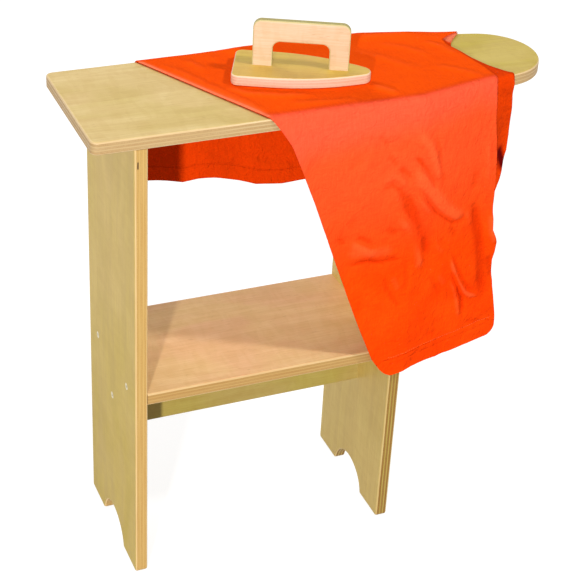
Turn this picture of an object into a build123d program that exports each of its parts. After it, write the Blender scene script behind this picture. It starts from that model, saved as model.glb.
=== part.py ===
from build123d import *
import os
from math import acos, atan2, cos, hypot, radians, sin, tan

# Toy ironing board: a plywood board on two panel legs, with a shelf and a centre rail.
# A cloth folded in two lies across it, and a plywood toy iron stands on the cloth.
# Millimetres, +Z up. The square end is at -X, the round nose at +X, the front at -Y.

# Plywood and its finish
ply = 15.8
edge_round = 2.4
small_round = 1.2

# Board
board_height = 619.0
board_length = 596.0
board_width = 193.0
board_corner_radius = 9.0
nose_radius = 65.0
taper_run = 131.0
taper_blend_radius = 150.0

# Legs
left_overhang = 48.3
leg_span = 323.2
leg_setback = 1.0
arch_width = 84.0
arch_rise = 35.0
arch_mouth_round = 3.0
foot_corner_radius = 4.0

# Shelf and the rail below it
shelf_height = 275.0
rail_depth = 90.5

# Cleats under the board
cleat_section = 20.0
cleat_length = 96.0

# Screws
head_radius = 4.5
head_angle = 90.0
shank_radius = 2.0
tip_length = 4.0
recess_length = 4.6
recess_width = 1.1
recess_depth = 1.6
hole_clearance = 0.2
frame_screw_length = 45.0
shelf_screw_spacing = 120.0
cleat_screw_bite = 11.0
cleat_upright_spacing = 64.0
cleat_level_spacing = 28.0

# Cloth: two layers of one folded piece, placed along the board from the start of its taper
cloth_layer = 1.2
cloth_gap = 0.3
roll_share = 0.8
cloth_left_rear_x = -288.0
cloth_left_front_x = -195.0
cloth_right_rear_x = 121.0
cloth_right_front_x = 134.0
layers_meet_x = 95.0
layers_meet_y = 28.0
upper_edge_front_x = 108.0
upper_edge_end_x = 127.0
upper_edge_end_height = 449.0
fold_width = 52.0
fold_height = 4.0
fold_seed = 0.2
flap_overrun = 12.0
hem_corner_radius = 16.0

# Front flap
front_hem_height = 242.0
front_hem_left_x = -26.0
front_hem_right_x = 145.0
front_waist_height = 404.0
front_waist_x = 126.0
front_waist_radius = 60.0

# Rear flap
rear_hem_left_height = 455.0
rear_hem_right_height = 408.0
rear_hem_left_x = -320.0
rear_hem_right_x = 115.0

# Toy iron, placed along the board from the start of its taper
iron_heel_x = -190.4
iron_heel_y = 30.8
iron_turn = -25.7
sole_thickness = 12.7
iron_heel_width = 78.5
iron_side_length = 44.0
iron_tip_length = 174.0
iron_corner_radius = 9.0
iron_tip_radius = 13.0
handle_setback = 22.0
handle_length = 113.4
handle_height = 56.0
handle_thickness = 10.0
handle_post = 23.6
handle_bar = 25.8
handle_corner_radius = 10.0
grip_corner_radius = 9.0
iron_screw_bite = 20.0

# Places worked out from the sizes
board_left = -board_length / 2
half_width = board_width / 2
board_underside = board_height - ply
nose_x = board_length / 2 - nose_radius
taper_x = nose_x - taper_run
taper_angle = acos(nose_radius / hypot(half_width, taper_run)) - atan2(taper_run, half_width)
leg_depth = board_width - 2 * leg_setback
left_leg_outer = board_left + left_overhang
left_leg_inner = left_leg_outer + ply
right_leg_inner = left_leg_inner + leg_span
right_leg_outer = right_leg_inner + ply
span_centre = (left_leg_inner + right_leg_inner) / 2
shelf_underside = shelf_height - ply
shelf_middle = shelf_height - ply / 2
rail_middle = shelf_underside - rail_depth / 2
arch_radius = (arch_width**2 / 4 + arch_rise**2) / (2 * arch_rise)
flap_taper_x = max(taper_x, right_leg_outer - leg_setback / tan(taper_angle))
cloth_underside = board_height + cloth_gap
cloth_thickness = 2 * cloth_layer
iron_base = cloth_underside + cloth_thickness + cloth_gap
head_depth = (head_radius - shank_radius) / tan(radians(head_angle / 2))
hole_radius = shank_radius + hole_clearance
sink_radius = head_radius + hole_clearance

os.makedirs("parts", exist_ok=True)


def save(part, name):
    """Label a finished piece and write it."""
    part.label = name
    export_step(part, f"parts/{name}.step")


# Plan of the board: a square end with small corners, a taper and a round nose
tangent_x = nose_x + nose_radius * sin(taper_angle)
tangent_y = nose_radius * cos(taper_angle)
with BuildSketch() as board_plan:
    with BuildLine():
        Polyline(
            (tangent_x, tangent_y),
            (taper_x, half_width),
            (board_left, half_width),
            (board_left, -half_width),
            (taper_x, -half_width),
            (tangent_x, -tangent_y),
        )
        ThreePointArc((tangent_x, -tangent_y), (board_length / 2, 0), (tangent_x, tangent_y))
    make_face()
    fillet(board_plan.vertices().group_by(Axis.X)[1], taper_blend_radius)
    fillet(board_plan.vertices().group_by(Axis.X)[0], board_corner_radius)


def seat(x, y, z, direction):
    """A plane at a screw's head, with its normal pointing out of the head."""
    return Plane(origin=(x, y, z), x_dir=(0, 1, 0), z_dir=direction)


def wood_screw(length):
    """A countersunk wood screw with a cross recess, its head at the origin, pointing down."""
    with BuildPart() as screw:
        with BuildSketch(Plane.XZ):
            with BuildLine():
                Polyline(
                    (0, 0),
                    (head_radius, 0),
                    (shank_radius, -head_depth),
                    (shank_radius, tip_length - length),
                    (0, -length),
                    close=True,
                )
            make_face()
        revolve(axis=Axis.Z)
        with BuildSketch():
            Rectangle(recess_length, recess_width)
            Rectangle(recess_width, recess_length)
        extrude(amount=-recess_depth, mode=Mode.SUBTRACT)
    return screw.part


def screw_group(name, length, seats):
    """Equal screws in one node, each with its head on its seat."""
    with BuildPart() as group:
        with Locations(*seats):
            add(wood_screw(length))
    save(group.part, name)


# Board, with blind pilot holes for the cleats' upright screws
down = (0, 0, -1)
upright_bite = cleat_screw_bite + hole_clearance
with BuildPart() as board_top:
    with BuildSketch(Plane.XY.offset(board_underside)):
        add(board_plan.sketch)
    extrude(amount=ply)
    rims = board_top.edges().group_by(Axis.Z)
    fillet(rims[0] + rims[-1], edge_round)
    for cleat_x in (left_leg_inner + cleat_section / 2, right_leg_inner - cleat_section / 2):
        with Locations(seat(cleat_x, 0, board_underside, down)):
            with GridLocations(cleat_upright_spacing, 0, 2, 1):
                Hole(hole_radius, depth=upright_bite)
save(board_top.part, "board_top")

# Shelf, flush with the legs front and back
shelf_bite = frame_screw_length - ply + hole_clearance
leg_faces = [(left_leg_inner, (-1, 0, 0)), (right_leg_inner, (1, 0, 0))]
with BuildPart() as shelf:
    with Locations((span_centre, 0, shelf_middle)):
        Box(leg_span, leg_depth, ply)
    fillet(shelf.edges().filter_by(Axis.X), edge_round)
    for face_x, direction in leg_faces:
        with Locations(seat(face_x, 0, shelf_middle, direction)):
            with GridLocations(shelf_screw_spacing, 0, 2, 1):
                Hole(hole_radius, depth=shelf_bite)
save(shelf.part, "shelf")

# Centre rail, on edge under the shelf
with BuildPart() as shelf_rail:
    with Locations((span_centre, 0, rail_middle)):
        Box(leg_span, ply, rail_depth)
    fillet(shelf_rail.edges().filter_by(Axis.X).group_by(Axis.Z)[0], edge_round)
    for face_x, direction in leg_faces:
        with Locations(seat(face_x, 0, rail_middle, direction)):
            Hole(hole_radius, depth=shelf_bite)
save(shelf_rail.part, "shelf_rail")

# Legs, cleats and their screws, once for each end
cleat_middle = board_underside - cleat_section / 2
cleat_underside = board_underside - cleat_section
upright_reach = cleat_upright_spacing / 2
level_reach = cleat_level_spacing / 2
frame_spots = [
    (-shelf_screw_spacing / 2, shelf_middle),
    (shelf_screw_spacing / 2, shelf_middle),
    (0, rail_middle),
]
ends = [
    ("left", left_leg_outer, left_leg_inner, -1),
    ("right", right_leg_outer, right_leg_inner, 1),
]
for end, outer_x, inner_x, outward in ends:
    cleat_x = inner_x - outward * cleat_section / 2
    cleat_face_x = inner_x - outward * cleat_section
    out, back = (outward, 0, 0), (-outward, 0, 0)
    frame_seats = [seat(outer_x, y, z, out) for y, z in frame_spots]
    pilot_seats = [seat(inner_x, y, cleat_middle, back) for y in (-level_reach, level_reach)]
    level_seats = [seat(cleat_face_x, y, cleat_middle, back) for y in (-level_reach, level_reach)]
    upright_seats = [seat(cleat_x, y, cleat_underside, down) for y in (-upright_reach, upright_reach)]

    with BuildPart() as leg:
        with BuildSketch(Plane.YZ.offset(min(outer_x, inner_x))) as panel:
            with Locations((0, board_underside / 2)):
                Rectangle(leg_depth, board_underside)
            fillet(panel.vertices().group_by(Axis.Y)[0], foot_corner_radius)
            with Locations((0, arch_rise - arch_radius)):
                Circle(arch_radius, mode=Mode.SUBTRACT)
            mouth = panel.vertices().group_by(Axis.Y)[0].sort_by(lambda corner: abs(corner.X))[:2]
            fillet(mouth, arch_mouth_round)
        extrude(amount=ply)
        rims = leg.faces().filter_by(Axis.X).edges()
        fillet(rims.filter_by(lambda rim: rim.center().Z < board_underside - edge_round), edge_round)
        with Locations(*frame_seats):
            CounterSinkHole(hole_radius, sink_radius, counter_sink_angle=head_angle)
        with Locations(*pilot_seats):
            Hole(hole_radius, depth=upright_bite)
    save(leg.part, f"{end}_leg")

    with BuildPart() as cleat:
        with Locations((cleat_x, 0, cleat_middle)):
            Box(cleat_section, cleat_length, cleat_section)
        chamfer(cleat.edges(), small_round)
        with Locations(*level_seats, *upright_seats):
            CounterSinkHole(hole_radius, sink_radius, counter_sink_angle=head_angle)
    save(cleat.part, f"{end}_cleat")

    screw_group(f"{end}_frame_screws", frame_screw_length, frame_seats)
    screw_group(f"{end}_cleat_screws", cleat_section + cleat_screw_bite, level_seats + upright_seats)

# Toy iron, turned on the board: its own axis runs from the middle of the heel to the tip
iron_axis = Vector(cos(radians(iron_turn)), sin(radians(iron_turn)), 0)
iron_origin = (taper_x + iron_heel_x, iron_heel_y, iron_base)
iron_bed = Plane(origin=iron_origin, x_dir=iron_axis, z_dir=(0, 0, 1))
iron_deck = iron_bed.offset(sole_thickness)
post_middles = [handle_setback + handle_post / 2, handle_setback + handle_length - handle_post / 2]
iron_seats = [
    Plane(origin=iron_bed.origin + iron_axis * middle, x_dir=iron_axis, z_dir=down)
    for middle in post_middles
]

with BuildPart() as iron_sole:
    with BuildSketch(iron_bed) as footprint:
        with BuildLine():
            Polyline(
                (iron_side_length, -iron_heel_width / 2),
                (0, -iron_heel_width / 2),
                (0, iron_heel_width / 2),
                (iron_side_length, iron_heel_width / 2),
            )
            TangentArc((iron_side_length, iron_heel_width / 2), (iron_tip_length, 0), tangent=(1, 0))
            TangentArc((iron_side_length, -iron_heel_width / 2), (iron_tip_length, 0), tangent=(1, 0))
        make_face()
        fillet(footprint.vertices().group_by(Axis.X)[-1], iron_tip_radius)
        fillet(footprint.vertices().group_by(Axis.X)[0], iron_corner_radius)
    extrude(amount=sole_thickness)
    rims = iron_sole.edges().group_by(Axis.Z)
    fillet(rims[0] + rims[-1], edge_round)
    with Locations(*iron_seats):
        CounterSinkHole(hole_radius, sink_radius, counter_sink_angle=head_angle)
save(iron_sole.part, "iron_sole")

handle_face = Plane(origin=iron_deck.origin, x_dir=iron_axis, z_dir=iron_axis.cross(Vector(0, 0, 1)))
with BuildPart() as iron_handle:
    with BuildSketch(handle_face) as arch:
        with Locations((handle_setback + handle_length / 2, handle_height / 2)):
            Rectangle(handle_length, handle_height)
        fillet(arch.vertices().group_by(Axis.Y)[-1], handle_corner_radius)
        with BuildSketch(mode=Mode.SUBTRACT) as grip:
            with Locations((handle_setback + handle_length / 2, (handle_height - handle_bar) / 2)):
                Rectangle(handle_length - 2 * handle_post, handle_height - handle_bar)
            fillet(grip.vertices().group_by(Axis.Y)[-1], grip_corner_radius)
    extrude(amount=handle_thickness / 2, both=True)
    rims = iron_handle.faces().filter_by(handle_face).edges()
    fillet(rims.filter_by(lambda rim: rim.center().Z > iron_deck.origin.Z + edge_round), edge_round)
    with Locations(*[iron_seat.offset(-sole_thickness) for iron_seat in iron_seats]):
        Hole(hole_radius, depth=iron_screw_bite + hole_clearance)
save(iron_handle.part, "iron_handle")

screw_group("iron_screws", sole_thickness + iron_screw_bite, iron_seats)


# Cloth: a flat run over the board and a flap with gentle folds on each side
def rim_depth(x):
    """From the board's middle line to its long edge or its taper, but clear of the right leg."""
    return half_width - max(0, x - flap_taper_x) * tan(taper_angle)


def fold_stations(start_x, end_x):
    """Where one fold meets the next, with one of these places where the taper starts."""
    stations = [start_x]
    for stop_x in (min(max(flap_taper_x, start_x), end_x), end_x):
        stretch = stop_x - stations[-1]
        if stretch > 0:
            folds = max(1, round(stretch / fold_width))
            stations += [stop_x - stretch * i / folds for i in reversed(range(folds))]
    return stations


def folded_strip(side, stations, height, depth, near, far):
    """A level section through a flap: arcs to and fro between two distances from its inner face."""
    spread = (cloth_gap + depth) / cos(taper_angle)
    with BuildSketch(Plane.XY.offset(height)) as strip:
        with BuildLine():
            for distance in (near, far):
                line = [(x, side * (rim_depth(x) + spread + distance)) for x in stations]
                for i, (start, end) in enumerate(zip(line, line[1:])):
                    SagittaArc(start, end, depth if i % 2 else -depth)
            for x in (stations[0], stations[-1]):
                edge_y = rim_depth(x) + spread
                Line((x, side * (edge_y + near)), (x, side * (edge_y + far)))
        make_face()
    return strip.sketch


def hanging_flap(side, stations, lowest, view_outline, near, far):
    """A loft whose folds deepen towards the hem, cut to an outline seen from the front."""
    top = cloth_underside + cloth_layer / 2
    drop = top - lowest
    with BuildPart() as flap:
        for drop_share, depth_share in flap_shares:
            height = top - drop * drop_share
            depth = fold_seed + (fold_height - fold_seed) * depth_share
            add(folded_strip(side, stations, height, depth, near, far))
        loft()
        with BuildSketch(Plane.XZ):
            add(view_outline)
        extrude(amount=board_width, both=True, mode=Mode.INTERSECT)
    return flap.part


def flat_run(corners, thickness):
    """The part of the cloth that lies on the board, with its rims rolled over the board's edges."""
    margin = cloth_gap + thickness + 3 * fold_seed
    rim = [(x, rim_depth(x) + margin) for x in (board_left, flap_taper_x, board_length / 2)]
    with BuildPart() as run:
        with BuildSketch(Plane.XY.offset(cloth_underside)):
            with BuildLine():
                Polyline(*corners, close=True)
            make_face()
            with BuildSketch(mode=Mode.INTERSECT):
                with BuildLine():
                    Polyline(*rim, *[(x, -y) for x, y in reversed(rim)], close=True)
                make_face()
        extrude(amount=thickness)
        upper_rims = run.edges().group_by(Axis.Z)[-1]
        depth = margin - cloth_gap
        outer_rims = upper_rims.filter_by(
            lambda rim: abs(rim.center().Y) > rim_depth(rim.center().X) + depth
        )
        fillet(outer_rims, thickness * roll_share)
    return run.part


def outline(*corners):
    """An outline given along the board from the start of its taper and up from the floor."""
    with BuildSketch() as view:
        with BuildLine():
            Polyline(*[(taper_x + x, height) for x, height in corners], close=True)
        make_face()
    return view


# How far down each section of a flap lies, and how deep its folds are there
flap_shares = [(0, 0), (0.4, 0.7), (1, 1)]

front_stations = fold_stations(
    taper_x + cloth_left_front_x - flap_overrun,
    taper_x + front_hem_right_x + flap_overrun,
)
rear_stations = fold_stations(
    taper_x + rear_hem_left_x - flap_overrun,
    taper_x + cloth_right_rear_x + flap_overrun,
)
flap_top = board_height + flap_overrun
upper_edge_end = (upper_edge_end_x, upper_edge_end_height)
front_view = outline(
    (cloth_left_front_x, flap_top),
    (cloth_left_front_x, board_height),
    (front_hem_left_x, front_hem_height),
    (front_hem_right_x, front_hem_height),
    (front_waist_x, front_waist_height),
    upper_edge_end,
    (upper_edge_front_x, board_height),
    (upper_edge_front_x, flap_top),
)
lower_view = outline(
    (upper_edge_front_x, flap_top),
    (upper_edge_front_x, board_height),
    upper_edge_end,
    (cloth_right_front_x, board_height),
    (cloth_right_front_x, flap_top),
)
rear_view = outline(
    (cloth_left_rear_x, flap_top),
    (cloth_left_rear_x, board_height),
    (rear_hem_left_x, rear_hem_left_height),
    (rear_hem_right_x, rear_hem_right_height),
    (cloth_right_rear_x, board_height),
    (cloth_right_rear_x, flap_top),
)
with front_view:
    fillet(front_view.vertices().group_by(Axis.Y)[0], hem_corner_radius)
    waist = (taper_x + front_waist_x, front_waist_height)
    fillet(front_view.vertices().sort_by_distance(waist)[0], front_waist_radius)
with rear_view:
    hem_corners = rear_view.vertices().filter_by(lambda corner: corner.Y < board_underside)
    fillet(hem_corners, hem_corner_radius)

# Corners of the flat run. At the front right the lower layer shows beyond the upper one.
run_reach = half_width + flap_overrun
left_slope = (cloth_left_front_x - cloth_left_rear_x) / board_width
rear_left = (taper_x + cloth_left_rear_x - left_slope * flap_overrun, run_reach)
front_left = (taper_x + cloth_left_front_x + left_slope * flap_overrun, -run_reach)
upper_front = (taper_x + upper_edge_front_x, -run_reach)
upper_front_rim = (taper_x + upper_edge_front_x, -rim_depth(taper_x + upper_edge_front_x))
lower_front = (taper_x + cloth_right_front_x, -run_reach)
lower_front_rim = (taper_x + cloth_right_front_x, -rim_depth(taper_x + cloth_right_front_x))
layers_meet = (taper_x + layers_meet_x, layers_meet_y)
rear_right_rim = (taper_x + cloth_right_rear_x, rim_depth(taper_x + cloth_right_rear_x))
rear_right = (taper_x + cloth_right_rear_x, run_reach)
upper_run = [front_left, upper_front, upper_front_rim, layers_meet, rear_right_rim, rear_right, rear_left]
lower_run = [upper_front, lower_front, lower_front_rim, layers_meet, upper_front_rim]
front_low = front_hem_height - flap_overrun
rear_low = rear_hem_right_height - flap_overrun
with BuildPart() as cloth:
    add(flat_run(upper_run, cloth_thickness))
    add(flat_run(lower_run, cloth_layer))
    add(hanging_flap(-1, front_stations, front_low, front_view.sketch, 0, cloth_thickness))
    add(hanging_flap(-1, front_stations, front_low, lower_view.sketch, 0, cloth_layer))
    add(hanging_flap(1, rear_stations, rear_low, rear_view.sketch, 0, cloth_thickness))
save(cloth.part, "cloth")
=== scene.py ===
from math import cos, exp, hypot, pi, radians, sin, sqrt, tan

import bmesh
import bpy
from mathutils import Matrix, Vector, noise


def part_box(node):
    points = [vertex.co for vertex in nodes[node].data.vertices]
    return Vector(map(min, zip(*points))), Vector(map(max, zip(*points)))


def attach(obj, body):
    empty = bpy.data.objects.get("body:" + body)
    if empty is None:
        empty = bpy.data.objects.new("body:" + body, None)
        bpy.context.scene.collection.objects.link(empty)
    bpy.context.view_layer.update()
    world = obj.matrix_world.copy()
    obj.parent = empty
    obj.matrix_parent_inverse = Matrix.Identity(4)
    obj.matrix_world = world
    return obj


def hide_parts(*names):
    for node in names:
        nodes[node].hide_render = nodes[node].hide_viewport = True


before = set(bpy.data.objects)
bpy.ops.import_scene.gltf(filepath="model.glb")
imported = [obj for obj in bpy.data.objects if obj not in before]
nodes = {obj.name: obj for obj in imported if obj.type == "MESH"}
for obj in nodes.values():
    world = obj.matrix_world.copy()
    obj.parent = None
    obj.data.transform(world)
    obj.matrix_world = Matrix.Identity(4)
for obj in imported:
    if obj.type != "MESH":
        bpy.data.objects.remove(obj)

# Without a seed noise_vector draws from the clock, and the cloth's creases differ on each run
noise.seed_set(1)

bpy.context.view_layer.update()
mm = 0.001
quarter = pi / 2

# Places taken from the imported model, in metres
board_low, board_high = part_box("board_top")
shelf_low, shelf_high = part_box("shelf")
rail_low, rail_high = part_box("shelf_rail")
left_leg_low, left_leg_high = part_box("left_leg")
right_leg_low, right_leg_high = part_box("right_leg")
sole_low, sole_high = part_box("iron_sole")
handle_low, handle_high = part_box("iron_handle")
ply = board_high.z - board_low.z
half_width = board_high.y

# The board's taper and nose, as they are cut
nose_radius = 65 * mm
taper_run = 131 * mm
taper_x = board_high.x - nose_radius - taper_run
taper_slope = tan(radians(12.83))

# The iron, which lies askew
iron_turn = radians(-25.7)
handle_thickness = 10 * mm
sole_middle = (sole_low + sole_high) / 2

# The cloth's UV maps, and how far each hem's seam lies from its edge
weave_name = "weave"
hem_name = "hems"
relief_name = "relief"
front_hem_depth = 28 * mm
rear_hem_depth = 20 * mm

# Parts of the drape, as the relief map tells them: shares between these are in the turns over the rims,
# and the lower layer has its own parts above the upper one's
front_part, board_part, rear_part = 0, 1, 2
rim_part = 0.4
lower_parts = 4


def tone(red, green, blue):
    """A colour given as screen values, as the linear colour that a shader takes."""
    def linear(value):
        share = value / 255
        return share / 12.92 if share <= 0.04045 else ((share + 0.055) / 1.055) ** 2.4
    return (linear(red), linear(green), linear(blue), 1.0)


class Wire:
    """A shader node's output. Sums and products of wires add the Math nodes that work them out."""

    def __init__(self, finish, socket):
        self.finish = finish
        self.socket = socket

    def math(self, operation, *others):
        """The output of a Math node that takes this wire and then the others."""
        return self.finish.node("ShaderNodeMath", {"operation": operation}, [self, *others])

    def swapped(self, operation, first):
        """The same for a plain number that stands before the wire."""
        return self.finish.node("ShaderNodeMath", {"operation": operation}, [first, self])

    def __add__(self, other):
        return self.math("ADD", other)

    def __sub__(self, other):
        return self.math("SUBTRACT", other)

    def __mul__(self, other):
        return self.math("MULTIPLY", other)

    def __truediv__(self, other):
        return self.math("DIVIDE", other)

    def __radd__(self, other):
        return self.swapped("ADD", other)

    def __rsub__(self, other):
        return self.swapped("SUBTRACT", other)

    def __rmul__(self, other):
        return self.swapped("MULTIPLY", other)

    def step(self, low, high):
        """0 below low, 1 above high and smooth between them, or the other way round if low is higher."""
        settings = {"interpolation_type": "SMOOTHSTEP"}
        if low < high:
            return self.finish.node("ShaderNodeMapRange", settings, [self, low, high, 0.0, 1.0])
        return self.finish.node("ShaderNodeMapRange", settings, [self, high, low, 1.0, 0.0])


class Finish:
    """A material that is being built, node by node."""

    def __init__(self, name, roughness, **fixed):
        self.material = bpy.data.materials.new(name)
        self.material.use_nodes = True
        self.tree = self.material.node_tree
        self.shader = self.tree.nodes["Principled BSDF"]
        self.shader.inputs["Roughness"].default_value = roughness
        for socket, value in fixed.items():
            self.shader.inputs[socket.replace("_", " ")].default_value = value

    def node(self, kind, settings, values):
        """The first output of a new node, whose inputs are given by name or in their order."""
        node = self.tree.nodes.new(kind)
        for setting, value in settings.items():
            setattr(node, setting, value)
        if isinstance(values, dict):
            pairs = [(node.inputs[name], value) for name, value in values.items()]
        else:
            pairs = zip([socket for socket in node.inputs if socket.enabled], values)
        for socket, value in pairs:
            if isinstance(value, Wire):
                self.tree.links.new(value.socket, socket)
            else:
                socket.default_value = value
        return Wire(self, next(socket for socket in node.outputs if socket.enabled))

    def place(self, turn=(0, 0, 0), middle=(0, 0, 0)):
        """The point on the piece, seen from its middle and along its own turned axes."""
        coordinates = self.tree.nodes.new("ShaderNodeTexCoord")
        point = Wire(self, coordinates.outputs["Object"])
        values = {"Vector": point, "Location": middle, "Rotation": turn}
        return self.node("ShaderNodeMapping", {"vector_type": "TEXTURE"}, values)

    def chart(self, name):
        """The point on the piece's own UV map."""
        chart = self.tree.nodes.new("ShaderNodeUVMap")
        chart.uv_map = name
        return Wire(self, chart.outputs["UV"])

    def parts(self, point):
        """A point's three coordinates."""
        split = self.tree.nodes.new("ShaderNodeSeparateXYZ")
        self.tree.links.new(point.socket, split.inputs[0])
        return [Wire(self, socket) for socket in split.outputs]

    def noise(self, point, scales, detail=2.0, distortion=0.0):
        """Cloudy values about 0.5, with so many waves to the metre along each axis."""
        scaled = self.node("ShaderNodeVectorMath", {"operation": "MULTIPLY"}, [point, scales])
        values = {"Vector": scaled, "Scale": 1.0, "Detail": detail, "Distortion": distortion}
        return self.node("ShaderNodeTexNoise", {}, values)

    def mix(self, share, first, second):
        """The first colour where share is 0 and the second one where it is 1."""
        return self.node("ShaderNodeMix", {"data_type": "RGBA"}, [share, first, second])

    def shaded(self, colour, share, darkest):
        """A colour multiplied towards a darker one by a share of 0 to 1."""
        settings = {"data_type": "RGBA", "blend_type": "MULTIPLY"}
        return self.node("ShaderNodeMix", settings, [share, colour, darkest])

    def bump(self, height, depth):
        """A surface that rises by depth metres where height is 1."""
        values = {"Height": height, "Distance": depth, "Strength": 1.0}
        return self.node("ShaderNodeBump", {}, values)

    def done(self, **wires):
        """The material, with these wires joined to its shader."""
        for name, wire in wires.items():
            self.tree.links.new(wire.socket, self.shader.inputs[name.replace("_", " ")])
        return self.material


def plywood(name, turn, middle, seed, face, warm, cut, banding, thickness=ply, fade=None, void=None):
    """Clear-coated birch plywood. Its own X runs along the face grain and its own Z through the plies.

    Its faces have the tones face and warm, which mix in patches, or turn from one to the other along X where
    fade tells. Its edges have the tone cut, and banding is how strongly the plies show there. A void is the
    place and the reach of a hole in an edge, which is only painted, dark as the shade inside it.
    """
    finish = Finish(name, 0.46, Specular_IOR_Level=0.3, Coat_Weight=0.05, Coat_Roughness=0.3)
    point = finish.place(turn, middle)
    moved = (seed, seed * 1.7, seed * 0.6)
    seeded = finish.node("ShaderNodeVectorMath", {"operation": "ADD"}, [point, moved])
    x, y, z = finish.parts(point)

    # Faces: soft patches of a yellow and a warm tone, growth figure, curl, fibres and short dark flecks
    patches = finish.noise(seeded, (7, 13, 13), 3.0, 0.8).step(0.38, 0.62)
    figure = finish.noise(seeded, (4, 34, 34), 3.0, 1.2)
    curl = finish.noise(seeded, (70, 26, 26), 2.0, 0.8)
    fibre = finish.noise(seeded, (18, 900, 900), 2.0)
    fleck = finish.noise(seeded, (90, 1300, 1300), 1.0).step(0.68, 0.78)
    if fade is not None:
        patches = patches * 0.3 + x.step(*fade) * 0.7
    surface = finish.mix(patches, face, warm)
    surface = finish.shaded(surface, figure.step(0.62, 0.36) * 0.45, tone(238, 228, 208))
    surface = finish.shaded(surface, curl.step(0.6, 0.4) * 0.35, tone(244, 238, 224))
    surface = finish.shaded(surface, fibre.step(0.62, 0.36) * 0.4, tone(236, 226, 206))
    surface = finish.shaded(surface, fleck * 0.5, tone(196, 170, 130))

    # Cut edges: an odd number of plies, every other one showing its end grain, and a sanded corner that is
    # paler, partly pale wood and partly painted highlight
    two_plies = 4.8 * mm
    plies = 2 * round(thickness / two_plies) + 1
    wander = finish.noise(seeded, (30, 30, 0), 2.0)
    depth = thickness / 2 - z.math("ABSOLUTE")
    exposed = depth.step(0.15 * mm, 0.5 * mm)
    sanded_and_highlit = depth.step(2.3 * mm, 1.5 * mm)
    level = (z / thickness + 0.5) * plies + (wander - 0.5) * 0.3
    nearest = level.math("ROUND")
    glue = (level - nearest).math("ABSOLUTE").step(0.13, 0.05) * exposed
    crossed = level.math("FLOOR").math("PINGPONG", 1.0) * (1 - sanded_and_highlit)
    streaks = finish.noise(seeded, (14, 14, 900), 3.0)
    pores = finish.noise(seeded, (1100, 1100, 500), 1.0)
    pitted = pores.step(0.6, 0.4) * crossed * exposed
    pale = finish.mix(0.5, cut, tone(248, 222, 176))
    # The rounded corner's pale band: partly sanded wood, partly painted highlight where the corner catches
    # the light
    edge = finish.mix(sanded_and_highlit * 0.7, cut, pale)
    edge = finish.shaded(edge, streaks.step(0.6, 0.38) * (0.3 + 0.5 * banding), tone(232, 212, 180))
    edge = finish.shaded(edge, crossed * banding, tone(206, 160, 120))
    edge = finish.shaded(edge, pitted * 0.3 * (0.5 + banding), tone(190, 150, 105))
    edge = finish.shaded(edge, glue * (0.12 + 0.7 * banding), tone(150, 108, 72))
    colour = finish.mix(exposed, surface, edge)

    # A small hole in a core ply, where there is one, only painted: dark as the shade inside it
    if void is not None:
        place, reach = void
        hole_x, hole_y, hole_z = place
        across = ((x - hole_x) / reach[0]).math("ABSOLUTE")
        along = ((y - hole_y) / reach[1]).math("ABSOLUTE")
        through = ((z - hole_z) / reach[2]).math("ABSOLUTE")
        painted_hole_shade = across.math("MAXIMUM", along).math("MAXIMUM", through).step(1.1, 0.8)
        colour = finish.mix(painted_hole_shade, colour, tone(74, 46, 22))

    # Fibres stand up a little, and flecks, glue lines and pores lie lower
    height = fibre * 0.5 + fleck * -0.6 + glue * -0.8 + pitted * -0.5
    roughness = 0.4 + 0.16 * figure + crossed * exposed * 0.12
    return finish.done(Base_Color=colour, Roughness=roughness, Normal=finish.bump(height, 0.06 * mm))


def pine():
    """Planed pine for the cleats: wide bands of growth that run along Y."""
    finish = Finish("cleat_pine", 0.55)
    point = finish.place()
    bands = finish.noise(point, (90, 4, 90), 2.0, 1.2)
    fibre = finish.noise(point, (900, 20, 900), 2.0)
    colour = finish.mix(bands.step(0.4, 0.6), tone(226, 188, 128), tone(206, 158, 96))
    colour = finish.shaded(colour, fibre.step(0.6, 0.4) * 0.5, tone(225, 205, 175))
    return finish.done(Base_Color=colour, Normal=finish.bump(fibre, 0.05 * mm))


def plated_steel():
    """Zinc-plated screws with a faint yellow cast, duller in patches."""
    finish = Finish("screw_steel", 0.34, Metallic=1.0)
    point = finish.place()
    mottle = finish.noise(point, (700, 700, 700), 3.0)
    colour = finish.mix(mottle.step(0.35, 0.65), tone(232, 224, 196), tone(205, 192, 158))
    return finish.done(Base_Color=colour, Roughness=0.26 + 0.2 * mottle)


def cotton_tones(finish, across, from_front, from_rear, part):
    """The cotton's colour over the drape, with its painted light and shade, and the shares that tell the
    lower layer and the board's top.
    """
    lower = part.step(lower_parts - 0.8, lower_parts - 0.2)
    cloud = finish.noise(finish.chart(weave_name), (16, 16, 1), 4.0, 0.5)
    painted_sheen = from_front.step(150 * mm, 330 * mm) * part.step(board_part, rim_part)
    rim = from_front.step(330 * mm, 380 * mm) * part.step(0.7, rim_part)
    on_top = part.step(rim_part, board_part) * part.step(rear_part - rim_part, board_part)
    colour = finish.mix(cloud.step(0.3, 0.7), tone(255, 76, 5), tone(250, 66, 2))
    # Painted sheen: the upper front flap, its roll and the board's edge near it are paler and pinker, as the
    # light on them
    colour = finish.mix(painted_sheen * 0.8, colour, tone(255, 87, 42))
    # Painted highlight along the roll over the front rim, reaching a little onto the board
    colour = finish.mix(rim * 0.5, colour, tone(255, 97, 72))
    # The cloth on the board is painted lighter and more orange, as the light on its top
    colour = finish.mix(on_top * 0.8, colour, tone(255, 88, 5))
    # The lower layer is painted darker, as the shade it lies in below the board and behind the upper layer
    colour = finish.mix(lower * 0.95, colour, tone(226, 63, 2))

    # The rear corner on the board, where the lower layer is turned up: its underside is painted paler, as
    # the light that falls on it
    in_corner = from_rear.step(213 * mm, 219 * mm) * from_rear.step(262 * mm, 256 * mm)
    turned = across.step(191 * mm, 196 * mm) * in_corner
    return finish.mix(turned * 0.7, colour, tone(255, 150, 112)), lower, on_top


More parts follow.
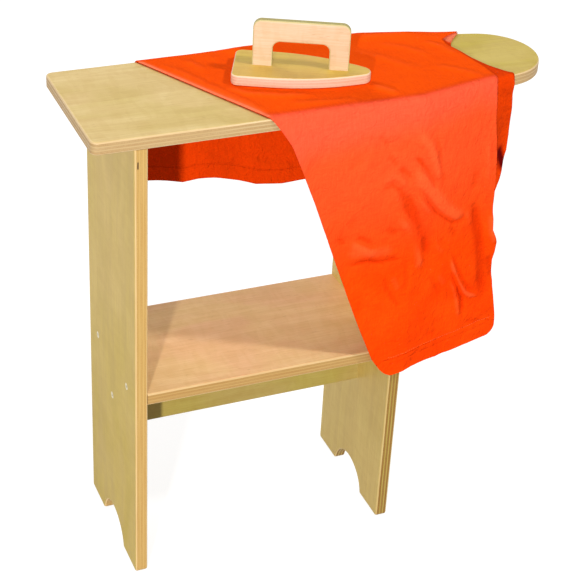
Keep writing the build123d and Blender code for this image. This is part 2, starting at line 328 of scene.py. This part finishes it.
def cotton():
    """Orange-red cotton in a plain weave. It reads the cloth's own UV maps, which are in metres."""
    finish = Finish("cotton", 0.9, Specular_IOR_Level=0.03)
    point = finish.chart(weave_name)
    across, along, _ = finish.parts(point)
    from_front, from_rear, _ = finish.parts(finish.chart(hem_name))
    relief, part, _ = finish.parts(finish.chart(relief_name))
    colour, lower, on_top = cotton_tones(finish, across, from_front, from_rear, part)

    # Painted light and shade on the drawn folds: ridges and the crease at the left edge are painted paler as
    # highlights, and valleys and the lower layer's pocket are painted darker as shade
    colour = finish.mix(relief.step(0.3, 3.0) * 0.35, colour, tone(255, 112, 60))
    colour = finish.mix(relief.step(3.5, 7.0) * 0.6, colour, tone(255, 140, 104))
    colour = finish.shaded(colour, relief.step(-0.2, -3.0) * 0.85, tone(222, 190, 110))
    # Painted shade in the lower layer's pocket
    colour = finish.shaded(colour, lower * relief.step(-1.5, -8.5), tone(132, 32, 30))

    # Threads of the weave, some thicker than others
    thread = 2 * pi / (0.9 * mm)
    warp = (across * thread).math("SINE")
    weft = (along * thread).math("SINE")
    weave = warp * weft * 0.5 + 0.5
    slub = finish.noise(point, (60, 900, 1), 2.0) * 0.5 + finish.noise(point, (900, 60, 1), 2.0) * 0.5
    colour = finish.shaded(colour, slub.step(0.58, 0.42) * 0.35, tone(236, 205, 190))
    colour = finish.shaded(colour, weave.step(0.4, 0.0) * 0.3, tone(225, 190, 175))

    # A groove where each hem is sewn down, and a second one between the front seam and its edge, both
    # painted a little darker as the shade in them
    front_seam = (from_front - front_hem_depth).math("ABSOLUTE").step(1.6 * mm, 0.3 * mm)
    front_fold = (from_front - front_hem_depth * 0.7).math("ABSOLUTE").step(2.4 * mm, 0.6 * mm) * 0.5
    rear_seam = (from_rear - rear_hem_depth).math("ABSOLUTE").step(1.6 * mm, 0.3 * mm)
    seams = front_seam.math("MAXIMUM", front_fold).math("MAXIMUM", rear_seam)
    colour = finish.shaded(colour, seams * 0.15, tone(232, 196, 180))

    # Creases too small to model, fewer of them on the board
    crumple = finish.noise(point, (85, 70, 1), 4.0, 1.5)
    soft = finish.noise(point, (28, 26, 1), 3.0, 0.8)
    creases = (crumple * 1.1 + soft * 1.6) * (1 - on_top * 0.65)
    fine = finish.bump(weave * 0.6 + slub * 0.6 + seams * -7.0, 0.10 * mm)
    values = {"Height": creases, "Distance": 2.2 * mm, "Strength": 0.9, "Normal": fine}
    return finish.done(Base_Color=colour, Normal=finish.node("ShaderNodeBump", {}, values))


def dress(node, material):
    """Give a carried-over piece its finish."""
    mesh = nodes[node].data
    mesh.materials.clear()
    mesh.materials.append(material)


def middle_of(low, high):
    """The middle of a box, as three plain numbers."""
    return tuple((low + high) / 2)


# Turns of the own axes of the upright legs and of the pieces that stand on edge
upright = (0, -quarter, 0)
on_edge = (-quarter, 0, 0)

# A hole in the front edge of the left leg, just below the board, painted dark as its shade
leg_middle = middle_of(left_leg_low, left_leg_high)
void_drop = 19.1 * mm
void_off_middle = 4.0 * mm
void_reach = (4.5 * mm, 3 * mm, 0.9 * mm)
leg_void = ((board_low.z - void_drop - leg_middle[2], left_leg_low.y, void_off_middle), void_reach)

# Where the faces turn from their first tone to their warm one, along each piece from its middle
board_fade = (200 * mm, -220 * mm)
leg_fade = (-260 * mm, 240 * mm)

dress("board_top", plywood(
    "board_ply", (0, 0, 0), middle_of(board_low, board_high), 3.1,
    tone(194, 173, 62), tone(227, 201, 139), tone(197, 169, 121), 0.18, fade=board_fade,
))
dress("left_leg", plywood(
    "left_leg_ply", upright, leg_middle, 7.7,
    tone(191, 164, 46), tone(213, 185, 103), tone(202, 166, 98), 0.1, fade=leg_fade, void=leg_void,
))
dress("right_leg", plywood(
    "right_leg_ply", upright, middle_of(right_leg_low, right_leg_high), 12.4,
    tone(202, 176, 98), tone(213, 187, 112), tone(176, 152, 76), 0.65, fade=leg_fade,
))
dress("shelf", plywood(
    "shelf_ply", (0, 0, 0), middle_of(shelf_low, shelf_high), 18.9,
    tone(246, 210, 152), tone(244, 200, 150), tone(190, 153, 92), 0.14,
))
dress("shelf_rail", plywood(
    "rail_ply", on_edge, middle_of(rail_low, rail_high), 23.2,
    tone(173, 156, 77), tone(176, 154, 88), tone(170, 150, 80), 0.2,
))
dress("iron_sole", plywood(
    "sole_ply", (0, 0, iron_turn), middle_of(sole_low, sole_high), 29.5,
    tone(216, 186, 78), tone(219, 182, 88), tone(222, 188, 164), 0.14, thickness=sole_high.z - sole_low.z,
))
dress("iron_handle", plywood(
    "handle_ply", (-quarter, 0, iron_turn), middle_of(handle_low, handle_high), 34.6,
    tone(223, 188, 152), tone(221, 192, 160), tone(178, 170, 104), 0.1, thickness=handle_thickness,
))
cleat_finish = pine()
screw_finish = plated_steel()
for end in ("left", "right"):
    dress(end + "_cleat", cleat_finish)
    dress(end + "_frame_screws", screw_finish)
    dress(end + "_cleat_screws", screw_finish)
dress("iron_screws", screw_finish)


# The cloth: one piece folded in two along its left edge. Each row of points runs across it,
# from the right edge of the upper layer to the fold and back under it to the lower layer's right edge.
cloth_thickness = 0.7 * mm

# How far each layer lies from the surface midway between them, and that surface's height on the board
layer_reach = 0.7 * mm
mid_height = board_high.z + 1.5 * mm

# The midway surface turns over the rim in a quarter circle that starts a little in from it,
# and then swings out while it drops
roll_radius = 5.3 * mm
roll_inset = 3.6 * mm
hang_off = 5.8 * mm
hang_ease = 45 * mm

# How far the layers part on each flap, in millimetres, and where they start to: a margin beyond the fold
# and a height below the rim, each with the same run
front_gap = 4.2
rear_gap = 2.6
fold_margin = 2
pressed_height = 611
part_run = 20

# Radii of the cloth's corners at the hems
left_corner = 9 * mm
right_corner = 15 * mm


def along(table, place):
    """The value at a place in a table of (place, value) corners, in straight runs between them."""
    for (start, first), (end, last) in zip(table, table[1:]):
        if place <= end:
            return first + (last - first) * max(0, place - start) / (end - start)
    return table[-1][1]


# Where the cloth's edges lie, in millimetres from the origin: on the board by the share of its depth
# from front to rear, and on the flaps by height
top_left_edge = [(0, -93), (1, -186)]
top_right_edge = [
    (0, 210), (0.22, 209), (0.4, 205), (0.6, 200), (0.72, 196), (0.85, 197), (0.95, 214), (1, 226),
]
top_lower_edge = [
    (0, 236), (0.06, 230), (0.13, 225), (0.25, 217), (0.44, 208.5), (0.6, 204.5),
    (0.72, 200), (0.78, 204), (0.88, 214), (0.96, 223), (1, 227),
]
front_left_edge = [
    (243, 77), (268, 59), (318, 38), (370, 18), (427, -3.5), (507, -33), (554, -52), (584, -64.5),
    (606, -79), (615, -86),
]
front_right_edge = [
    (243, 252), (271, 250), (296, 245), (319, 240), (345, 235.5), (362, 234), (375, 236), (388, 236.5),
    (399, 232), (410, 226.5), (443, 223), (476, 223), (524, 218.5), (565, 212), (615, 209),
]
front_lower_edge = [
    (243, 240), (362, 224), (410, 220), (449, 221), (472, 231), (490, 238.5), (509, 246), (530, 247),
    (570, 242.5), (590, 238.5), (604, 237), (615, 236),
]
rear_left_edge = [(409, -222), (455, -214), (615, -187)]
rear_right_edge = [(409, 210), (615, 224)]
flap_top = 615
front_flap_end = 243
rear_flap_end = 434

# Heights of the hems, from left to right
front_hem = [(60, 243), (84, 241), (98, 243), (116, 245), (158, 245.5), (200, 248), (240, 249), (270, 251)]
rear_hem = [
    (-230, 457), (-162, 452), (-140, 449), (-124, 445), (-98, 447), (-78, 444), (-45, 434), (-22, 425),
    (14, 421), (47, 422), (100, 417), (220, 407),
]


class Row:
    """One line of points across the cloth: the zone of the drape that it is in, and how far along there."""

    starts = {
        "front": front_part, "front_roll": front_part,
        "top": board_part, "rear_roll": board_part,
        "rear": rear_part,
    }

    def __init__(self, zone, share):
        self.zone = zone
        self.share = share

    def part(self):
        """The part of the drape, with shares between the parts in the rolls over the rims."""
        return self.starts[self.zone] + (self.share if self.zone.endswith("roll") else 0)


def rim_depth(x):
    """From the board's middle line to its rim, or to where its taper's line would be."""
    return half_width - max(0.0, x - taper_x) * taper_slope


def cloth_rows():
    """Rows from the front hem over the board to the rear hem, closest at the hems and in the rolls.

    A flap's share is 1 at its hem and 0 at the roll. On the board and in the rolls the share grows
    from front to rear.
    """
    front_steps, roll_steps, top_steps, rear_steps = 132, 6, 46, 46
    front_crowding, rear_crowding = 1.35, 1.2
    rows = [Row("front", 1 - (i / front_steps) ** front_crowding) for i in range(front_steps)]
    rows += [Row("front_roll", i / roll_steps) for i in range(roll_steps)]
    rows += [Row("top", i / top_steps) for i in range(top_steps)]
    rows += [Row("rear_roll", i / roll_steps) for i in range(roll_steps)]
    rows += [Row("rear", 1 - (1 - i / rear_steps) ** rear_crowding) for i in range(rear_steps + 1)]
    return rows


def stroke(x, height, points, reach, rise):
    """How far a fold drawn through a few points lifts the cloth at (x, height). Its ends are lower."""
    nearest = float("inf")
    share = 0.0
    runs = len(points) - 1
    for i, ((ax, az), (bx, bz)) in enumerate(zip(points, points[1:])):
        run_x, run_z = bx - ax, bz - az
        length_squared = run_x * run_x + run_z * run_z
        t = min(1.0, max(0.0, ((x - ax) * run_x + (height - az) * run_z) / length_squared))
        distance = hypot(x - ax - t * run_x, height - az - t * run_z)
        if distance < nearest:
            nearest = distance
            share = (i + t) / runs
    if nearest > 3 * reach:
        return 0.0
    end_share, run_out = 0.15, 5
    ends = min(1.0, run_out * share + end_share, run_out * (1 - share) + end_share)
    return rise * ends * exp(-(nearest / reach) ** 2)


# Folds on the front flap: (x, height) along each in millimetres, then its half width and its rise.
# A fold with a rise below zero is a valley.
front_folds = [
    ([(92, 550), (110, 528), (128, 500)], 4, -3.0),
    ([(90, 536), (107, 514), (126, 489), (143, 467), (160, 453), (178, 449)], 10, 3.6),
    ([(94, 581), (110, 561), (126, 529), (132, 511)], 7, 2.6),
    ([(118, 571), (127, 548), (134, 519), (139, 500)], 4.5, -1.8),
    ([(103, 503), (121, 478), (133, 464), (146, 453), (160, 443), (180, 439)], 4, -3.4),
    ([(97, 494), (111, 480), (124, 467)], 6, 1.8),
    ([(52, 509), (64, 516), (76, 507), (84, 492)], 4.5, -1.8),
    ([(82, 502), (91, 484), (98, 462), (105, 443), (118, 419), (121, 396)], 10, -3.6),
    ([(50, 519), (63, 529), (76, 523), (84, 511)], 6, 1.8),
    ([(74, 472), (94, 455), (106, 433), (112, 408), (114, 390)], 8, 3.2),
    ([(72, 537), (92, 520)], 6, -2.4),
    ([(57, 557), (70, 539)], 4.5, -1.4),
    ([(43, 582), (58, 566)], 4.5, -1.2),
    ([(22, 452), (36, 444), (48, 433)], 5.5, -2.4),
    ([(15, 446), (31, 438), (50, 425)], 6, 2.0),
    ([(0, 454), (8, 442)], 5, -2.0),
    ([(12, 411), (30, 415), (42, 416), (57, 412), (72, 414), (90, 412)], 3, -3.0),
    ([(8, 431), (42, 429), (76, 427)], 9, 1.8),
    ([(90, 411), (95, 384), (94, 360)], 5, -1.4),
    ([(12, 466), (22, 477)], 4.5, -1.3),
    ([(62, 458), (78, 448)], 6, -1.8),
    ([(60, 394), (71, 369), (82, 352), (91, 341)], 4.5, -1.6),
    ([(73, 391), (85, 367)], 6, 1.2),
    ([(162, 393), (168, 376), (180, 350), (191, 333), (201, 325), (217, 318)], 3.4, 3.4),
    ([(168, 369), (178, 346), (189, 321), (194, 294)], 4.5, -3.2),
    ([(163, 400), (174, 376), (187, 352), (198, 334), (212, 326)], 3.4, -2.0),
    ([(165, 361), (176, 339), (182, 316), (188, 292)], 4.5, 1.9),
    ([(133, 377), (143, 355), (155, 335)], 4.5, -1.4),
    ([(143, 373), (158, 353)], 6, 1.1),
    ([(141, 424), (153, 411)], 4.5, -1.5),
    ([(132, 421), (150, 404)], 6, 1.1),
    ([(155, 440), (168, 418)], 4.5, -1.8),
    ([(188, 464), (197, 439), (206, 412), (216, 362), (226, 300)], 9, -3.0),
    ([(181, 455), (188, 430)], 5, 1.5),
    ([(188, 508), (189, 478)], 7, -1.6),
    ([(203, 545), (210, 483)], 5, 1.4),
    ([(199, 283), (229, 277)], 4, -1.8),
    ([(134, 288), (156, 280)], 5, -1.3),
    ([(20, 583), (40, 581)], 4, -1.0),
    ([(4, 567), (20, 575)], 4, -1.0),
    ([(8, 544), (26, 554)], 4.5, -1.1),
    ([(34, 541), (47, 542)], 4, -0.9),
    ([(222, 439), (226, 412), (236, 391)], 7, 2.4),
    ([(226, 375), (231, 359), (238, 334)], 6, -2.2),
    ([(-70, 605), (-20, 609), (60, 607), (140, 605)], 10, 0.9),
]

# The pocket in the lower layer of the front flap, where it shows beside the upper one: a tone only, painted
# dark as the shade in it
painted_pocket_shade = [([(227, 521), (234, 507), (242, 489)], 6.5, -10.0)]

# Folds on the rear flap
rear_folds = [
    ([(-34, 464), (-8, 451), (24, 446)], 4, -2.2),
    ([(-30, 471), (-4, 459), (28, 454)], 6, 1.8),
    ([(-102, 494), (-92, 477), (-86, 459)], 7, -1.8),
    ([(-128, 509), (-120, 479), (-116, 449)], 12, 2.4),
    ([(-60, 529), (-50, 489), (-48, 439)], 14, 1.8),
    ([(-150, 569), (-142, 509), (-138, 454)], 9, -1.8),
    ([(10, 569), (20, 509), (14, 429)], 14, -1.8),
    ([(70, 599), (76, 509), (72, 429)], 13, 2.6),
    ([(120, 599), (128, 509), (130, 419)], 11, -2.4),
    ([(168, 599), (176, 509), (182, 414)], 12, 2.2),
    ([(-190, 589), (-182, 519), (-180, 459)], 10, 1.8),
    ([(40, 479), (70, 464), (110, 461)], 6, -1.6),
    ([(130, 554), (160, 539), (200, 541)], 6, -1.6),
]

# Folds on the board: (x, y) along each in millimetres, then the same two values
top_folds = [
    ([(-161, 74), (-138, 25), (-112, -32), (-88, -88)], 6, 1.1),
    ([(-112, -6), (-97, -30), (-61, -47), (-20, -56)], 5, 1.5),
    ([(44, -38), (60, -60), (75, -80)], 6, 1.6),
    ([(-132, 78), (-124, 62), (-118, 40)], 6, 1.0),
    ([(-101, 74), (-90, 72), (-78, 66)], 5, 1.4),
    ([(-60, -70), (-20, -76), (30, -84)], 7, 1.0),
    ([(110, 60), (140, 40), (160, 10)], 8, 1.0),
    ([(70, 50), (100, 20), (130, -30)], 9, 0.9),
    ([(150, -20), (175, -40), (195, -66)], 7, 1.0),
    ([(90, 80), (130, 76), (170, 70)], 6, 1.1),
    ([(170, 50), (186, 30), (192, 0)], 6, 1.2),
]


def crumpled(x, height, seed):
    """Small creases all over washed cotton, up to highest, at a place in millimetres."""
    across_rate, down_rate, highest = 0.021, 0.019, 1.4
    spot = Vector((x * across_rate + seed, height * down_rate, seed * 0.37))
    warp = noise.noise_vector(spot * 0.7) * 0.9
    ridge = noise.ridged_multi_fractal(spot + warp, 1.2, 2.0, 2, 1.0, 2.0)
    return min(highest, ridge * 0.55)


def clear_of_iron(x, y):
    """0 under the iron, rising to 1 away from it, so that the iron stands on flat cloth."""
    half_length, half_breadth, ease = 88 * mm, 45 * mm, 0.15
    reach = Vector((x - sole_middle.x, y - sole_middle.y, 0))
    own = Matrix.Rotation(-iron_turn, 3, "Z") @ reach
    distance = max(abs(own.x) / half_length, abs(own.y) / half_breadth)
    return min(1.0, max(0.0, (distance - 1) / ease))


def drawn_folds(x, place, folds):
    """What a list of drawn folds adds up to at a point, in millimetres."""
    return sum(stroke(x / mm, place / mm, *fold) for fold in folds)


def flap_lift(x, z, side):
    """How far the hanging cloth stands out from its mean surface, in metres."""
    x_mm, z_mm = x / mm, z / mm
    free_drop = 120 * mm
    fold_strength, deepest = 1.1, -5.6
    settled = min(1.0, max(0.0, (board_high.z - z) / free_drop))
    wave = 1.6 * sin(x_mm / 31 + 1.3 * side) + 1.1 * sin(x_mm / 17 + z_mm / 90)
    lift = drawn_folds(x, z, front_folds if side < 0 else rear_folds) * fold_strength
    lift += settled * (wave * 0.8 + 2.0 * crumpled(x_mm, z_mm, 4 + side) - 0.8)
    return max(deepest, lift) * min(1.0, 0.25 + settled * 2) * mm


def top_lift(x, y):
    """How far the cloth on the board stands up from it, in metres and never below it."""
    x_mm, y_mm = x / mm, y / mm
    fold_strength = 1.8
    lift = drawn_folds(x, y, top_folds) * fold_strength
    lift += 0.6 * max(0.0, crumpled(x_mm, y_mm, 9) - 0.3)

    # A swell along the rear rim, which runs out at both ends
    swell, inset, reach = 3.4, 12, 16
    swell_start, swell_end, run = -110, 226, 60
    ends = min(1.0, max(0.0, (x_mm - swell_start) / run)) * min(1.0, max(0.0, (swell_end - x_mm) / run))
    lift += swell * ends * exp(-((y_mm - rim_depth(x) / mm + inset) / reach) ** 2)
    return max(0.0, lift) * clear_of_iron(x, y) * mm


def raised_corner(x, y):
    """How far the rear right corner on the board has sprung up."""
    rise, middle_y, reach = 1.3 * mm, 58 * mm, 15 * mm
    start_x, run = 184 * mm, 40 * mm
    along_edge = exp(-((y - middle_y) / reach) ** 2)
    near_edge = min(1.0, max(0.0, (x - start_x) / run))
    return rise * along_edge * near_edge ** 2


def round_corner(x, low_x, high_x, rise, radius):
    """The place x, kept inside a row's ends where its round corners pull them in, at a rise from the hem."""
    if rise >= radius:
        return x
    pull = radius - sqrt(max(0.0, radius ** 2 - (radius - rise) ** 2))
    return min(max(x, low_x + pull), high_x - pull)


def edges_of(row, lower):
    """Left and right ends of a row, in metres, for the upper or the lower layer."""
    on_board = (top_left_edge, top_lower_edge if lower else top_right_edge)
    in_front = (front_left_edge, front_lower_edge if lower else front_right_edge)
    behind = (rear_left_edge, rear_right_edge)
    if row.zone == "front":
        height = flap_top - (flap_top - front_flap_end) * row.share
        return [along(table, height) * mm for table in in_front]
    if row.zone == "rear":
        height = flap_top - (flap_top - rear_flap_end) * row.share
        return [along(table, height) * mm for table in behind]
    if row.zone == "top":
        return [along(table, row.share) * mm for table in on_board]
    if row.zone == "front_roll":
        flap, share, place = in_front, row.share, 0
    else:
        flap, share, place = behind, 1 - row.share, 1
    return [
        (along(hanging, flap_top) * (1 - share) + along(lying, place) * share) * mm
        for hanging, lying in zip(flap, on_board)
    ]


def smooth(share):
    """A share that is kept between 0 and 1 and eased at both ends."""
    kept = min(1.0, max(0.0, share))
    return kept * kept * (3 - 2 * kept)


def opened(x_mm, z_mm, left_edge):
    """0 at the fold and at the rim, where the layers lie together, and 1 away from both."""
    from_fold = x_mm - along(left_edge, z_mm) - fold_margin
    return smooth(from_fold / part_run) * smooth((pressed_height - z_mm) / part_run)


def parting(x, z):
    """How far the lower layer hangs behind the upper one: most of all where it shows beyond it."""
    x_mm, z_mm = x / mm, z / mm
    gap = front_gap * opened(x_mm, z_mm, front_left_edge)
    recess, margin, run = 14, 6, 30
    recess_top, run_below_top, recess_end, run_above_end = 606, 80, 458, 60
    recess *= smooth((x_mm - along(front_right_edge, z_mm) + margin) / run)
    recess *= smooth((recess_top - z_mm) / run_below_top) * smooth((z_mm - recess_end) / run_above_end)
    return (gap + recess) * mm


def drape(row, x, left, right, out):
    """The place of a point of the cloth at x on a row, out metres from its middle surface."""
    roll_height = mid_height - roll_radius
    roll_depth = rim_depth(x) - roll_inset
    radius = roll_radius + out
    if row.zone in ("front", "rear"):
        side = -1 if row.zone == "front" else 1
        hem = along(front_hem if side < 0 else rear_hem, x / mm) * mm
        z = roll_height - (roll_height - hem) * row.share
        corner = left_corner if 2 * x < left + right else right_corner
        return hang_point(side, round_corner(x, left, right, z - hem, corner), z, out)
    if row.zone in ("front_roll", "rear_roll"):
        side = -1 if row.zone == "front_roll" else 1
        turned = (1 - row.share if side < 0 else row.share) * quarter
        depth = roll_depth + radius * sin(turned)
        lift = top_lift(x, side * depth) + raised_corner(x, side * depth)
        return Vector((x, side * depth, roll_height + (radius + lift) * cos(turned)))
    y = roll_depth * (2 * row.share - 1)
    lift = top_lift(x, y) if out > 0 else 0.0
    return Vector((x, y, mid_height + out + lift + raised_corner(x, y)))


def hang_point(side, x, z, out):
    """A point of the front or the rear flap, out metres from its middle surface."""
    drop = mid_height - roll_radius - z
    depth = rim_depth(x) - roll_inset + roll_radius + hang_off * (1 - exp(-drop / hang_ease))
    lift = flap_lift(x, z, side)
    lower_deepest = -1.2 * mm
    if side < 0 and out < 0:
        lift = max(lower_deepest, lift) - parting(x, z)
    if side > 0 and out > 0:
        lift += rear_gap * mm * opened(x / mm, z / mm, rear_left_edge)
    return Vector((x, side * (depth + out + lift), z))


def folded_cloth():
    """The cloth as one grid of points, with the fold at its left edge and the lower layer under the upper.

    The lower layer's columns lie closest together at its right edge on the front flap, where it shows.
    """
    rows = cloth_rows()
    upper_steps, fold_steps, lower_steps = 150, 3, 34
    flap_crowding, part_crowding = 1.6, 0.4
    columns = upper_steps + fold_steps + lower_steps
    sheet = bmesh.new()
    weave = sheet.loops.layers.uv.new(weave_name)
    hems = sheet.loops.layers.uv.new(hem_name)
    relief = sheet.loops.layers.uv.new(relief_name)
    bmesh.ops.create_grid(sheet, x_segments=columns, y_segments=len(rows) - 1, size=0.5)
    sheet.verts.ensure_lookup_table()
    across = {}
    height = {}
    part = {}
    for vert in sheet.verts:
        column = round((vert.co.x + 0.5) * columns)
        row = rows[round((vert.co.y + 0.5) * (len(rows) - 1))]
        left, right = edges_of(row, column > upper_steps)
        if column <= upper_steps:
            x = right + (left - right) * column / upper_steps
            out = layer_reach
        elif column < upper_steps + fold_steps:
            turn = pi * (column - upper_steps) / fold_steps
            x = left - layer_reach * sin(turn)
            out = layer_reach * cos(turn)
        else:
            share = (column - upper_steps - fold_steps) / lower_steps
            x = right - (right - left) * (1 - share) ** (flap_crowding - part_crowding * row.part())
            out = -layer_reach
        across[vert] = -x if out > 0 else x
        vert.co = drape(row, x, left, right, out)
        height[vert] = fold_height(row, vert.co, left, out < 0)
        part[vert] = seen_part(row, vert.co) + (0 if out > 0 else lower_parts)
    travelled = walk_along(sheet.verts, columns + 1)
    remaining = walk_along(list(reversed(sheet.verts)), columns + 1)
    for face in sheet.faces:
        for loop in face.loops:
            loop[weave].uv = (across[loop.vert], travelled[loop.vert])
            loop[hems].uv = (travelled[loop.vert], remaining[loop.vert])
            loop[relief].uv = (height[loop.vert], part[loop.vert])
    return sheet


def seen_part(row, point):
    """The row's part, with the turn at the front drawn out over the rim onto the board, so that the painted
    highlight and sheen of the roll reach there.
    """
    highlight_run = 18 * mm
    if row.zone == "front_roll":
        return rim_part * row.share
    if row.zone == "top" and point.y < 0:
        return rim_part + (board_part - rim_part) * smooth((point.y + rim_depth(point.x)) / highlight_run)
    return row.part()


def fold_height(row, point, left, lower):
    """How high the drawn folds and the crease at the left edge stand in a layer, in millimetres, which the
    cotton reads to paint highlights and shade.
    """
    crease_rise, crease_reach = 8, 4.5 * mm
    if row.zone == "front":
        return drawn_folds(point.x, point.z, painted_pocket_shade if lower else front_folds)
    if row.zone == "top" and not lower:
        # The crease is not in the shape: its height only paints a highlight along the fold at the left edge
        crease = crease_rise * exp(-((point.x - left) / crease_reach) ** 2)
        return crease + drawn_folds(point.x, point.y, top_folds) * clear_of_iron(point.x, point.y)
    return 0.0


def walk_along(verts, column_count):
    """How far each point lies from the first hem, measured over the cloth."""
    travelled = {}
    for index, vert in enumerate(verts):
        if index < column_count:
            travelled[vert] = 0.0
        else:
            before = verts[index - column_count]
            travelled[vert] = travelled[before] + (vert.co - before.co).length
    return travelled


def hem_stitches():
    """Short threads along the seam of each hem, each five times as long as it is thick."""
    threads = bmesh.new()
    pitch, reach, thread_radius = 3.4 * mm, 1.3 * mm, 0.26 * mm
    seams = [
        (-1, front_hem, front_hem_depth, 78 * mm, 246 * mm),
        (1, rear_hem, rear_hem_depth, -212 * mm, 214 * mm),
    ]
    for side, hem, depth, start, end in seams:
        for i in range(int((end - start) / pitch)):
            x = start + pitch * (i + 0.5)
            ends = []
            for place in (x - reach, x + reach):
                height = along(hem, place / mm) * mm + depth
                ends.append(hang_point(side, place, height, layer_reach + cloth_thickness / 2))
            run = (ends[1] - ends[0]).normalized()
            turn = run.to_track_quat("Z", "Y").to_matrix().to_4x4()
            shape = Matrix.Diagonal((thread_radius, thread_radius, reach, 1))
            placed = Matrix.Translation((ends[0] + ends[1]) / 2) @ turn @ shape
            bmesh.ops.create_uvsphere(threads, u_segments=6, v_segments=5, radius=1, matrix=placed)
    return threads


def sewing_thread():
    """Polyester thread, a shade deeper than the cotton, with a twist."""
    finish = Finish("sewing_thread", 0.8, Specular_IOR_Level=0.1)
    point = finish.place()
    twist = finish.noise(point, (1800, 1800, 1800), 1.0)
    colour = finish.mix(twist.step(0.35, 0.65), tone(255, 122, 66), tone(255, 106, 48))
    return finish.done(Base_Color=colour, Normal=finish.bump(twist, 0.05 * mm))


def put(name, data):
    """A new object in the scene."""
    piece = bpy.data.objects.new(name, data)
    bpy.context.scene.collection.objects.link(piece)
    return piece


def finished(name, sheet, material, body):
    """A piece made of a bmesh, with its finish and the body that it rides on."""
    mesh = bpy.data.meshes.new(name)
    sheet.to_mesh(mesh)
    sheet.free()
    for face in mesh.polygons:
        face.use_smooth = True
    mesh.materials.append(material)
    piece = put(name, mesh)
    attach(piece, body)
    return piece


sheet = folded_cloth()
bmesh.ops.recalc_face_normals(sheet, faces=sheet.faces)
cloth = finished("folded_cloth", sheet, cotton(), "cloth_sheet")
thickness = cloth.modifiers.new("thickness", "SOLIDIFY")
thickness.thickness = cloth_thickness
thickness.offset = 0.0
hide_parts("cloth")
stitches = finished("hem_stitches", hem_stitches(), sewing_thread(), "cloth_sheet")


# Floor, backdrop light, lamps and camera
def to_camera(tree, plain, seen):
    """A shader that is one thing to the light and another to the camera and in mirrors."""
    path = tree.nodes.new("ShaderNodeLightPath")
    either = tree.nodes.new("ShaderNodeMath")
    either.operation = "MAXIMUM"
    tree.links.new(path.outputs["Is Camera Ray"], either.inputs[0])
    tree.links.new(path.outputs["Is Glossy Ray"], either.inputs[1])
    choice = tree.nodes.new("ShaderNodeMixShader")
    tree.links.new(either.outputs[0], choice.inputs["Fac"])
    tree.links.new(plain.outputs[0], choice.inputs[1])
    tree.links.new(seen.outputs[0], choice.inputs[2])
    return choice


def pale_floor():
    """A pale floor that shows white to the camera and keeps a soft shadow."""
    reach, sunk = 6.0, 0.5 * mm
    floor = bmesh.new()
    bmesh.ops.create_grid(floor, x_segments=1, y_segments=1, size=reach)
    mesh = bpy.data.meshes.new("floor")
    floor.to_mesh(mesh)
    floor.free()
    material = bpy.data.materials.new("floor_white")
    material.use_nodes = True
    tree = material.node_tree
    tree.nodes.clear()
    matt = tree.nodes.new("ShaderNodeBsdfDiffuse")
    matt.inputs["Color"].default_value = (0.34, 0.335, 0.33, 1)
    glow = tree.nodes.new("ShaderNodeEmission")
    glow.inputs["Strength"].default_value = 0.8
    both = tree.nodes.new("ShaderNodeAddShader")
    tree.links.new(matt.outputs[0], both.inputs[0])
    tree.links.new(glow.outputs[0], both.inputs[1])
    output = tree.nodes.new("ShaderNodeOutputMaterial")
    tree.links.new(to_camera(tree, matt, both).outputs[0], output.inputs["Surface"])
    mesh.materials.append(material)
    piece = put("floor", mesh)
    piece.location.z = -sunk


def studio_world(level):
    """A faintly warm, dim world, which the camera and mirrors see as white."""
    world = bpy.data.worlds.new("studio")
    bpy.context.scene.world = world
    world.use_nodes = True
    tree = world.node_tree
    tree.nodes.clear()
    dim = tree.nodes.new("ShaderNodeBackground")
    dim.inputs["Color"].default_value = (1.0, 0.98, 0.95, 1)
    dim.inputs["Strength"].default_value = level
    white = tree.nodes.new("ShaderNodeBackground")
    white.inputs["Color"].default_value = (1, 1, 1, 1)
    output = tree.nodes.new("ShaderNodeOutputWorld")
    tree.links.new(to_camera(tree, dim, white).outputs[0], output.inputs["Surface"])


def softbox(name, aim, direction, distance, size, power):
    """A square lamp that faces a point on the toy from a direction."""
    lamp = bpy.data.lights.new(name, "AREA")
    lamp.shape = "SQUARE"
    lamp.size = size
    lamp.energy = power
    way = Vector(direction).normalized()
    turn = way.to_track_quat("Z", "Y").to_matrix().to_4x4()
    put(name, lamp).matrix_world = Matrix.Translation(Vector(aim) + way * distance) @ turn


def photo_camera():
    """The camera at the photograph's viewpoint."""
    eye = Vector((-0.72582, -1.59416, 1.39923))
    yaw, pitch, roll = 0.41886, 0.55076, 0.05504
    forward = Vector((sin(yaw) * cos(pitch), cos(yaw) * cos(pitch), -sin(pitch)))
    level = Vector((cos(yaw), -sin(yaw), 0))
    above = level.cross(forward)
    right = cos(roll) * level + sin(roll) * above
    up = cos(roll) * above - sin(roll) * level
    view = bpy.data.cameras.new("photo_camera")
    view.lens = 100.65
    view.sensor_width = 36.0
    piece = put("photo_camera", view)
    turn = Matrix((right, up, -forward)).transposed().to_4x4()
    piece.matrix_world = Matrix.Translation(eye) @ turn
    bpy.context.scene.camera = piece


pale_floor()
studio_world(0.4)
lamp_distance = 6.0
softbox("key_lamp", (0, 0, 0.45), (0.6, -0.55, 1.0), lamp_distance, 0.5, 134)
softbox("low_lamp", (-0.18, 0, 0.5), (-0.485, -0.874, 0.2), lamp_distance, 0.25, 330)
softbox("back_lamp", (0, 0, 0.45), (-0.3, 0.8, 0.65), lamp_distance, 2.5, 112)
photo_camera()
bpy.context.scene.view_settings.view_transform = "Standard"
